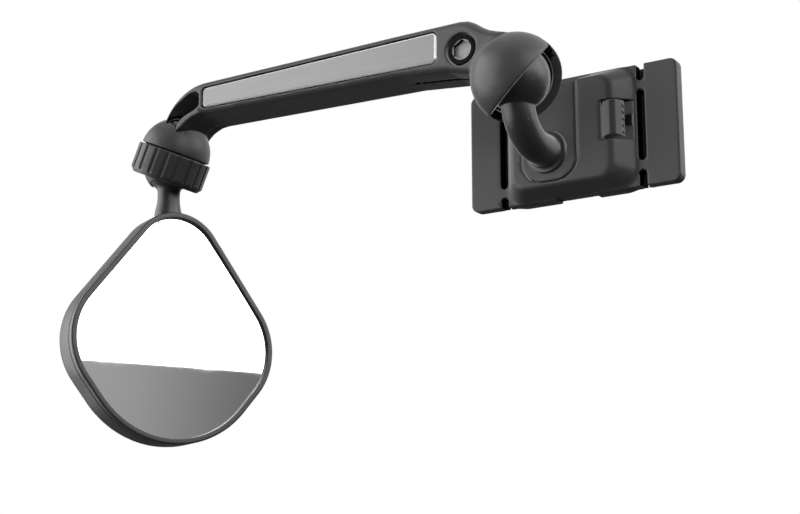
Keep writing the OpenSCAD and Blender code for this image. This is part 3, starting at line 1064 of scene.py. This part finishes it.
@dataclass
class Foot:
    """The foot: a dovetail tongue that carries the ball stem."""

    base: Base
    face: float = 7.25
    flange_front: float = 5.1
    flange_back: float = 3.7
    stem_x: float = -3.9
    boss_z: float = -4.0
    ball_r: float = 7.15
    stem_r: float = 3.6
    bend_r: float = 9.0

    def tongue(self) -> bpy.types.Object:
        """The tongue with its flange and the notch for the catch."""
        low, high = low_high("slide_tongue")
        base = self.base
        mould = Mould(low, high, 0.16)
        top = base.tongue_plan(base.tongue_half, -10.4, 11.4, 5.2)
        mould.add(slab(top, self.flange_front - 0.1, self.face, 0.0, 0.28))
        flange = base.tongue_plan(base.tongue_half + 1.7, -11.2, 12.4, 4.5)
        mould.add(slab(flange, self.flange_back, self.flange_front, 0.12))
        side = base.tongue_x + base.tongue_half + 1.7
        mould.cut(slab(rectangle((side - 1.2, side + 1), (-0.3, 2.7)), 3, self.flange_front + 0.2))
        hole = (self.stem_x, -3, self.boss_z)
        mould.cut(bar(hole, (self.stem_x, -9, self.boss_z), 1.3))
        mouth = (self.stem_x, -self.flange_back + 0.01, self.boss_z)
        throat = (self.stem_x, -self.flange_back - 1.2, self.boss_z)
        mould.cut(bar(mouth, throat, 2.45, 1.25))
        return mould.cast("tongue_moulding")

    def stem(self, centre: Vector) -> bpy.types.Object:
        """The ball on its bent stem, flared onto the tongue."""
        low, high = low_high("ball_stem")
        x, z = self.stem_x, self.boss_z
        bend_y, bend_z = centre.y + self.bend_r, z + self.bend_r
        mould = Mould(low, high, 0.16)
        mould.add(ball(centre, self.ball_r))
        mould.add(bar(centre, (x, centre.y, bend_z - 0.1), self.stem_r), 0.9)
        mould.add(bend((x, bend_y, bend_z), self.bend_r, self.stem_r))
        mould.add(bar((x, bend_y - 0.1, z), (x, -self.face, z), self.stem_r))
        flare = bar((x, -self.face - 0.02, z), (x, -self.face - 0.95, z), 4.9, 4.75, 0.2)
        mould.add(flare, 0.9)
        mould.cut(bar((x, -5, z), (x, -10.5, z), 1.05))
        return mould.cast("stem_moulding")

    def build(self, shop: Workshop) -> None:
        """Makes the foot's pieces."""
        shop.fit(self.tongue(), "slide_tongue").visible_glossy = False
        shop.fit(self.stem(joint_point("arm_swivel")), "ball_stem").visible_glossy = False
        shop.dress("stem_screw", 0.03)


# ---------------------------------------------------------------- arm


@dataclass
class Arm:
    """The arm: two jaws that pinch the ball, an inlaid beam and a socket for the mirror."""

    front: float = 27.4
    rear: float = 14.2
    clamp_r: float = 10.0
    cavity_r: float = 7.9
    slit: float = 1.0
    keep_jaw: float = 0.8
    head_r: float = 3.45
    inlay_t: float = 0.6
    dome_r: float = 8.4
    collar_r: float = 7.6
    bore_r: float = 6.45

    def plan(self) -> Array:
        """The beam's outline seen from the front."""
        rows = arc((-84.6, 8.55), 13.4, 90, 156, 3)
        rows += [[-97, 10.6], [-93.5, 9.9]]
        rows += [[-92.7, 10.8], [-91.7, 11.9], [-90.5, 12.8], [-89.4, 13.3], [-88.1, 13.8], [-86, 14]]
        rows += [[-58, 13.3], [-30, 12.6], [-17.5, 11.4], [-11.5, 9.8], [-8, 7.5], [-3.9, 8.9]]
        rows += [[-3.9, 17.9], [-5.5, 18.35], [-7.4, 19.0], [-8.9, 19.8], [-9.9, 20.5]]
        rows += [[-11.1, 21.35], [-12.6, 22.1], [-14.5, 22.4], [-30, 22.4], [-58, 22.15]]
        return np.array(rows)

    def window(self) -> Array:
        """The outline of the deep window in the elbow."""
        corners = [[-96.6, 13.4], [-93.6, 16.9], [-88.6, 19.7], [-85.9, 19.6]]
        corners += [[-85.8, 16.2], [-89.2, 13.5], [-92.9, 9.6]]
        return np.array(eased(corners, [0.5, 6, 3, 1.2, 1.2, 5, 0.3], 6))

    def rail(self) -> Array:
        """The outline of the narrow rail that closes the window's inner side."""
        outer = [[-93.1, 10.7], [-91.3, 11.5], [-89.6, 12.7], [-87.7, 13.6], [-85.3, 14.2]]
        inner = [[-86.0, 15.7], [-88.7, 14.8], [-90.8, 14.0], [-92.4, 12.5]]
        return np.array(outer + inner)

    def jaw_gap(self, centre: Vector) -> list[Solid]:
        """What the two jaws leave open: a wedge on each side of the slit."""
        turn, drop = math.radians(40.8), math.radians(129.8)
        made = []
        for side in (-1, 1):
            level = math.sin(drop)
            n = Vector((level * math.cos(turn), -side * level * math.sin(turn), math.cos(drop)))
            face = half_space(centre + n * self.keep_jaw, n, 14)
            made.append(overlap(face, half_space(centre, (0, side, 0), 14)))
        return made

    def body(self, centre: Vector, screw: Vector, socket: Matrix) -> bpy.types.Object:
        """The arm's one moulding."""
        low, high = low_high("arm_body")
        mould = Mould(low, high, 0.2)
        mould.add(slab(self.plan(), self.rear, self.front, 1.8, 1.9))
        mould.add(ball(centre, self.clamp_r), 0.5)
        mould.cut(slab(self.window(), self.front - 8.8, self.front + 1), 0.35)
        mould.add(slab(self.rail(), self.rear + 4, self.front, 0.3, 0.4), 0.3)
        dome = overlap(ball((0, 0, 0), self.dome_r), bar((0, 0, 0), (0, 0, 9), 9))
        mould.add(dome.placed(socket), 0.35)
        mould.add(bar((0, 0, -6), (0, 0, 1), self.collar_r).placed(socket))
        mould.cut(ball(centre, self.cavity_r))
        for wedge in self.jaw_gap(centre):
            mould.cut(wedge, 0.35)
        self.cut_clamp(mould, centre, screw)
        inlay = self.inlay_outline()
        mould.cut(slab(inlay.grown(0.3), self.front - self.inlay_t - 0.1, self.front + 1), 0.12)
        mould.cut(bar((0, 0, -8), (0, 0, 4), self.bore_r).placed(socket))
        for turn in (0, 60, 120):
            place = socket @ Matrix.Rotation(math.radians(turn), 4, "Z")
            mould.cut(sheet(rectangle((-9, 9), (-0.4, 0.4)), -7, -2).placed(place))
        return mould.cast("arm_moulding", detail=0.01)

    def cut_clamp(self, mould: Mould, centre: Vector, screw: Vector) -> None:
        """Cuts the slit between the jaws and the seats of the clamp screw and its nut."""
        y, x, z = centre.y, screw.x, screw.z
        slit_end = centre.x - 24.6
        opening = rectangle((slit_end, slit_end + 60), (y - self.slit / 2, y + self.slit / 2))
        mould.cut(sheet(opening, -20, 30), 0.2)
        mould.cut(bar((slit_end, y, -12), (slit_end, y, 40), self.slit * 0.8), 0.2)
        mould.cut(bar((x, 0, z), (x, -40, z), 2.15))
        mould.cut(bar((x, -self.front + 3.9, z), (x, -40, z), self.head_r + 0.2), 0.35)
        angles = np.radians(range(0, 360, 60))
        hexagon = np.array([[x + 4.1 * math.cos(a), z + 4.1 * math.sin(a)] for a in angles])
        mould.cut(slab(hexagon, 10, self.rear + 3.4), 0.2)

    def inlay_outline(self) -> Outline:
        """The inlay's outline, wider at the clamp than at the elbow."""
        r = 1.0
        return belt([[-83.7, 16.4, r], [-21.2, 14.9, r], [-21.2, 19.7, r], [-83.7, 19.05, r]])

    def inlay(self) -> bpy.types.Object:
        """The metal inlay with a narrow polished bevel round its brushed face; the bevel is painted near white,
        partly as a painted highlight.
        """
        sweep = Sweep(self.inlay_outline())
        back, face = self.front - self.inlay_t + 0.02, self.front - 0.02
        bevel = 0.34
        rings = [sweep.ring(0, back), sweep.ring(0, face - 0.34), sweep.ring(-0.04, face - 0.28)]
        rings += [sweep.ring(-bevel, face), sweep.ring(-bevel - 0.05, face)]
        # the sides and the bevel take the second group, near white as a painted highlight
        for a, b in zip(rings, rings[1:]):
            sweep.join(a, b, 0 if b == rings[-1] else 1)
        sweep.cap(rings[0], False)
        sweep.cap(rings[-1], True)
        return sweep.cast("inlay_metal")

    def screw(self, screw: Vector) -> bpy.types.Object:
        """The clamp screw: a blackened cap head with a hexagon socket, whose floor and rim carry a painted
        highlight.
        """
        x, z = screw.x, screw.z
        top = -self.front + 0.4
        low, high = low_high("clamp_screw")
        mould = Mould(low, high, 0.09)
        mould.add(bar((x, top + 3, z), (x, top, z), self.head_r, edge=0.3))
        mould.add(bar((x, -self.rear - 0.3, z), (x, top + 1, z), 2.0))
        radius = 4 / math.sqrt(3)
        angles = np.radians(range(30, 390, 60))
        hexagon = np.array([[x + radius * math.cos(a), z + radius * math.sin(a)] for a in angles])
        mould.cut(slab(hexagon, -top - 1.1, -top + 1), 0.12)
        mould.cut(bar((x, top + 0.25, z), (x, top - 0.3, z), 2.1, 2.65))
        made = mould.cast("clamp_screw_turned")
        # the socket's floor and the chamfer of its rim take the light grey group: a painted highlight
        for polygon in made.data.polygons:
            middle = polygon.center / MM
            close = math.hypot(middle.x - x, middle.z - z) < 2.3
            floor = middle.y > top + 0.9 and polygon.normal.y < -0.6
            rim = middle.y < top + 0.5 and 0.3 < -polygon.normal.y < 0.93
            polygon.material_index = int(close and middle.y < top + 1.4 and (floor or rim))
        return made

    def build(self, shop: Workshop, socket: Matrix) -> None:
        """Makes the arm's pieces."""
        centre, screw = joint_point("arm_raise"), joint_point("clamp_turn")
        shop.fit(self.body(centre, screw, socket), "arm_body").visible_glossy = False
        shop.fit(self.inlay(), "inlay_plate", POLISHED_EDGE_HIGHLIGHT)
        turned_screw = self.screw(screw)
        shop.fit(turned_screw, "clamp_screw", SOCKET_HIGHLIGHT)
        turned_screw.data.materials[0] = shop.finish(BLACK_OXIDE)
        turned_screw.visible_glossy = False
        shop.dress("inlay_tape", 0.02)
        shop.dress("clamp_washer", 0.05)
        shop.dress("clamp_nut", 0.1)
        shop.dress("ball_liner", 0.05)
        shop.dress("seat_spring", 0.03)


# ---------------------------------------------------------------- mirror joint


@dataclass
class MirrorJoint:
    """The friction joint: a grooved lock ring that presses a seat onto the mirror's ball."""

    ring_r: float = 9.05
    top: float = -0.35
    low: float = -7.6
    mouth_r: float = 5.2
    collar_r: float = 7.6
    grooves: int = 19
    sink: float = 4.2
    liner_r: float = 6.15

    def ring(self, socket: Matrix) -> bpy.types.Object:
        """The lock ring: flat grip panels parted by grooves, with a chamfered lower rim."""
        r, mouth = self.ring_r, self.mouth_r
        mould = Mould((-r, -r, self.low), (r, r, self.top), 0.12)
        corners = [[0, self.top], [r, self.top], [r, self.low + 1.2], [r - 1.0, self.low], [0, self.low]]
        profile = eased(corners, [0, 0.3, 0.7, 0.35, 0])
        mould.add(turned(profile[::-1]))
        step = 360 / self.grooves
        turns = [math.radians(step * i) for i in range(self.grooves)]
        reach = r / math.cos(math.radians(step / 2)) * 0.994
        panels = np.array([[reach * math.cos(a), reach * math.sin(a)] for a in turns])
        mould.keep(sheet(panels, self.low - 3, self.top + 3), 0.1)
        for a in turns:
            x, y = (r + 0.12) * math.cos(a), (r + 0.12) * math.sin(a)
            mould.cut(bar((x, y, self.low - 1), (x, y, self.top + 1), 0.5), 0.12)
        mould.cut(bar((0, 0, self.low + 1.5), (0, 0, 2), self.collar_r + 0.1))
        mould.cut(ball((0, 0, -self.sink), self.liner_r + 0.1))
        mould.cut(bar((0, 0, self.low - 1), (0, 0, self.low + 3), mouth), 0.2)
        return mould.cast("lock_ring_moulding", socket)

    def build(self, shop: Workshop, socket: Matrix) -> None:
        """Makes the joint's pieces."""
        shop.fit(self.ring(socket), "lock_ring")
        shop.dress("friction_seat", 0.08)
        shop.dress("mirror_liner", 0.04)


# ---------------------------------------------------------------- mirror head


@dataclass
class MirrorHead:
    """The mirror head: a ball stem bolted into a teardrop shell that holds convex glass in a bezel."""

    turn: float = 66.0
    shell_back: float = 3.6
    bezel_w: float = 1.6
    glass_front: float = 6.5
    glass_radius: float = 600.0
    glass_mid: float = -42.0
    ball_r: float = 5.7
    bolts: tuple[float, float] = (-19.5, -26.0)
    circles: Sequence[Sequence[float]] = (
        (0, -43.9, 22.25),
        (9.9, -44.1, 14.4),
        (0, -24.3, 10.25),
        (-9.9, -44.1, 14.4),
    )
    place: Matrix = field(default_factory=Matrix)

    def teardrop(self) -> Outline:
        """The glass's outline."""
        return belt(self.circles, 1.2)

    def stem(self) -> bpy.types.Object:
        """The ball and its neck, which flares into the shell and ends in a bolted tang."""
        low, high = (-6, -6, -29), (6, 6, 5.7)
        mould = Mould(low, high, 0.13)
        mould.add(ball((0, 0, 0), self.ball_r))
        neck = [[0, -3], [2.85, -4.5], [2.72, -6], [2.68, -7.2], [2.75, -8.6]]
        neck += [[2.95, -9.8], [3.2, -10.8], [3.3, -12], [3.3, -16], [0, -16]]
        mould.add(turned(neck), 0.8)
        mould.add(slab(rounded_box((-5.5, 5.5), (-29, -17.6), 1.5), -1.2, 1.2, 0.2))
        mould.add(slab(rectangle((-3, 3), (-19, -14)), -1.2, 1.2))
        for z in self.bolts:
            mould.cut(bar((0, 2, z), (0, -0.6, z), 0.8))
        return mould.cast("mirror_stem_moulding", self.place)

    def shell(self) -> bpy.types.Object:
        """The shell: a hollow teardrop with a full round back."""
        rim = self.glass_front + 0.25 - 1.7
        outline = self.teardrop()
        outer, inner = outline.grown(self.bezel_w), outline.grown(0.95)
        low, high = outer.min(0), outer.max(0)
        mould = Mould((low[0], -rim, low[1]), (high[0], self.shell_back, high[1]), 0.2)
        mould.add(slab(outer, -self.shell_back, rim, 4.0, 0.22))
        mould.cut(slab(inner, -self.shell_back + 1.2, rim + 2, 3.4, 0))
        for z in self.bolts:
            mould.add(bar((0, 1.25, z), (0, 2.8, z), 2.4), 0.3)
        for x in (-11, 11):
            mould.add(slab(rectangle((x - 0.6, x + 0.6), (-55, -33)), -2.7, 3.1), 0.2)
        mould.cut(bar((0, 0, -16), (0, 0, -4), 3.38), 0.25)
        for z in self.bolts:
            mould.cut(bar((0, 0, z), (0, 6, z), 0.95))
            mould.cut(bar((0, self.shell_back - 1.1, z), (0, 6, z), 1.8), 0.15)
        return mould.cast("shell_moulding", self.place)

    def bezel(self) -> bpy.types.Object:
        """The bezel: a front ring with a soft outer edge, a thin lip and a skirt inside the shell."""
        f, w = self.glass_front + 0.25, self.bezel_w
        lip, under, skirt = 0.25, f - 0.95, 0.5
        corners = [[w, f - 1.66], [w, f], [lip, f], [lip, under], [skirt, under], [skirt, f - 3.2]]
        corners += [[w - 0.7, f - 3.2], [w - 0.7, f - 1.66]]
        profile = eased(corners, [0.2, 0.5, 0.2, 0, 0, 0.1, 0.1, 0], 5)
        sweep = Sweep(self.teardrop())
        rings = [sweep.ring(grow, out) for grow, out in profile]
        for a, b in zip(rings, rings[1:] + rings[:1]):
            sweep.join(a, b)
        return sweep.cast("bezel_moulding", self.place)

    def glass(self) -> bpy.types.Object:
        """The convex glass, with a ground bevel at its rim."""
        outline = self.teardrop()
        sweep = Sweep(outline)
        back = self.glass_front - 2.25

        def dome(flat: Array) -> Array:
            """Points on the glass's front over points of its outline."""
            rise = flat[:, 0] ** 2 + (flat[:, 1] - self.glass_mid) ** 2
            depth = rise / (2 * self.glass_radius) - self.glass_front
            return np.column_stack([flat[:, 0], depth, flat[:, 1]])

        rings = [sweep.ring(0.45, back)]
        rim = dome(outline.grown(0.45))
        rim[:, 1] += 0.25
        rings.append(sweep.own_ring(rim))
        edge = outline.grown(0.3)
        rings.append(sweep.own_ring(dome(edge)))
        middle = np.array([0.0, self.glass_mid])
        steps = 16
        for i in range(1, steps):
            rings.append(sweep.own_ring(dome(middle + (edge - middle) * (1 - i / steps))))
        for a, b in zip(rings, rings[1:]):
            sweep.join(a, b)
        sweep.cap(rings[0], False)
        sweep.cap(rings[-1], True)
        return sweep.cast("glass_silvered", self.place)

    def build(self, shop: Workshop) -> None:
        """Makes the head's pieces."""
        turned_head = Matrix.Rotation(math.radians(self.turn), 4, "Z")
        self.place = Matrix.Translation(joint_point("mirror_swivel")) @ turned_head
        shop.fit(self.stem(), "mirror_stem")
        shop.fit(self.shell(), "back_shell")
        shop.fit(self.bezel(), "bezel")
        shop.fit(self.glass(), "mirror_glass")
        shop.dress("glass_pad", 0.1)
        shop.dress("stem_bolts", 0.04)


# ---------------------------------------------------------------- studio


@dataclass(frozen=True)
class Softbox:
    """A soft panel of light on the studio's dome, by its middle and half its size in degrees.

    A panel with a lower edge is cut off hard there, which gives the glass a horizon to show.
    """

    azimuth: float
    elevation: float
    half_width: float
    half_height: float
    light: float
    soft: float = 12.0
    lower_edge: float | None = None


@dataclass
class Studio:
    """A pale studio: white surroundings, soft panels on both sides and a floor below the camera."""

    azimuth: float = 32.25
    elevation: float = -13.56
    lens: float = 72.0
    distance: float = 0.3543
    look_at: Point = (-0.03647, -0.01587, -0.02503)
    ambient: float = 0.2
    floor_drop: float = 0.06
    boxes: tuple[Softbox, ...] = (
        Softbox(92, 26, 42, 22, 3.2, 10.0, 8.25),
        Softbox(-62, 8, 38, 33, 3.2, 12.0),
        Softbox(0, 85, 180, 22, 0.8, 16.0),
        Softbox(180, 30, 60, 30, 1.0, 20.0),
    )

    def direction(self) -> Vector:
        """The direction from the object to the camera."""
        a, e = math.radians(self.azimuth), math.radians(self.elevation)
        return Vector((math.sin(a) * math.cos(e), -math.cos(a) * math.cos(e), math.sin(e)))

    def camera(self) -> None:
        """Creates the camera and makes it the scene's own."""
        data = bpy.data.cameras.new("studio camera")
        data.lens = self.lens
        data.sensor_width = 36.0
        data.clip_start = 0.01
        data.clip_end = 20.0
        made = bpy.data.objects.new("studio camera", data)
        bpy.context.scene.collection.objects.link(made)
        back = self.direction()
        made.location = Vector(self.look_at) + back * self.distance
        made.rotation_mode = "QUATERNION"
        made.rotation_quaternion = (-back).to_track_quat("-Z", "Y")
        bpy.context.scene.camera = made

    def surroundings(self) -> None:
        """White behind the object, and soft panels of light for what it reflects."""
        world = bpy.data.worlds.new("studio")
        world.use_nodes = True
        bpy.context.scene.world = world
        n = Nodes(world.node_tree)
        way = n.add("SeparateXYZ", Vector=n.add("TexCoord").outputs["Generated"])
        x, y, z = way.outputs
        degree = math.pi / 180
        azimuth = n.math("DIVIDE", n.math("ARCTAN2", x, n.math("MULTIPLY", y, -1.0)), degree)
        elevation = n.math("DIVIDE", n.math("ARCSINE", z), degree)
        light = n.ramp(elevation, -40.0, 50.0, self.ambient * 0.35, self.ambient)
        for box in self.boxes:
            away = n.math("SUBTRACT", azimuth, box.azimuth)
            away = n.math("ABSOLUTE", n.math("WRAP", away, 180.0, -180.0))
            across = n.ramp(away, box.half_width + box.soft / 2, box.half_width - box.soft / 2)
            up = n.math("ABSOLUTE", n.math("SUBTRACT", elevation, box.elevation))
            down = n.ramp(up, box.half_height + box.soft / 2, box.half_height - box.soft / 2)
            panel = n.math("MULTIPLY", n.math("MULTIPLY", across, down), box.light)
            if box.lower_edge is not None:
                # a hard lower edge, lit in full from there up to the panel's middle
                bottom, top = box.lower_edge - 0.05, box.lower_edge + 0.05
                cut = n.ramp(elevation, bottom, top)
                full = n.math("MULTIPLY", cut, n.ramp(elevation, box.elevation + 4, box.elevation))
                panel = n.math("MULTIPLY", n.ramp(elevation, bottom, top, 0.0, box.light), across)
                panel = n.math("MULTIPLY", panel, n.math("MAXIMUM", down, full))
            light = n.math("ADD", light, panel)
        grey_card = n.math("MULTIPLY", n.ramp(azimuth, 84.0, 101.0, 0.2, 0.0), n.ramp(elevation, 8.3, 8.2))
        beside = n.math("ABSOLUTE", n.math("SUBTRACT", azimuth, 90.0))
        grey_card = n.math("MULTIPLY", grey_card, n.ramp(beside, 40.0, 30.0))
        grey_card = n.math("MULTIPLY", grey_card, n.ramp(elevation, -25.0, -5.0))
        light = n.math("ADD", light, grey_card)
        grey = n.add("CombineColor", Red=light, Green=light, Blue=light).outputs[0]
        dome = n.add("Background", Color=grey)
        plain = n.add("Background", Color=(1.0, 1.0, 1.0, 1.0), Strength=1.0)
        seen = n.add("LightPath").outputs["Is Camera Ray"]
        shown = n.add("MixShader", in_0=seen, in_1=dome.outputs[0], in_2=plain.outputs[0])
        n.add("OutputWorld", Surface=shown.outputs[0])

    def floor(self) -> None:
        """A plain pale floor, below the camera."""
        low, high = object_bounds()
        middle = (low + high) / 2
        half = 0.9
        height = low.z - self.floor_drop
        signs = ((-1, -1), (1, -1), (1, 1), (-1, 1))
        corners = [(middle.x + sx * half, middle.y + sy * half, height) for sx, sy in signs]
        made = make_object("studio_floor", np.array(corners), [(0, 1, 2, 3)])
        made.modifiers.clear()
        material = bpy.data.materials.new("pale floor")
        material.use_nodes = True
        n = Nodes(material.node_tree)
        where = n.add("TexCoord").outputs["Object"]
        tone = n.add("TexNoise", Vector=where, Scale=3.0, Detail=2.0)
        tint = n.mix(tone.outputs["Fac"], colour(0.78), colour(0.82))
        shader = n.add("BsdfPrincipled", Base_Color=tint, Roughness=0.9)
        n.add("OutputMaterial", Surface=shader.outputs[0])
        made.data.materials.append(material)
        made.visible_diffuse = False
        made.visible_glossy = False
        made.visible_shadow = False
        made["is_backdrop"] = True

    def build(self) -> None:
        """Sets up the camera, the light and the floor."""
        bpy.context.scene.view_settings.view_transform = "Standard"
        self.camera()
        self.surroundings()
        self.floor()
        LOG.info("studio ready")


def socket_place() -> Matrix:
    """The matrix in mm from the lock ring's own upright frame to the row's."""
    up = joint_axis("mirror_spin")
    tilt = math.atan2(up.x, up.z)
    return Matrix.Translation(joint_point("ring_turn")) @ Matrix.Rotation(tilt, 4, "Y")


def main() -> None:
    """Builds the studio and then each sub-assembly, from the base out to the mirror."""
    logging.basicConfig(level=logging.INFO, format="%(name)s: %(message)s")
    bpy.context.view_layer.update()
    Studio().build()
    shop = Workshop()
    base = Base()
    base.build(shop)
    Foot(base).build(shop)
    socket = socket_place()
    Arm().build(shop, socket)
    MirrorJoint().build(shop, socket)
    MirrorHead().build(shop)


if __name__ == "__main__":
    main()
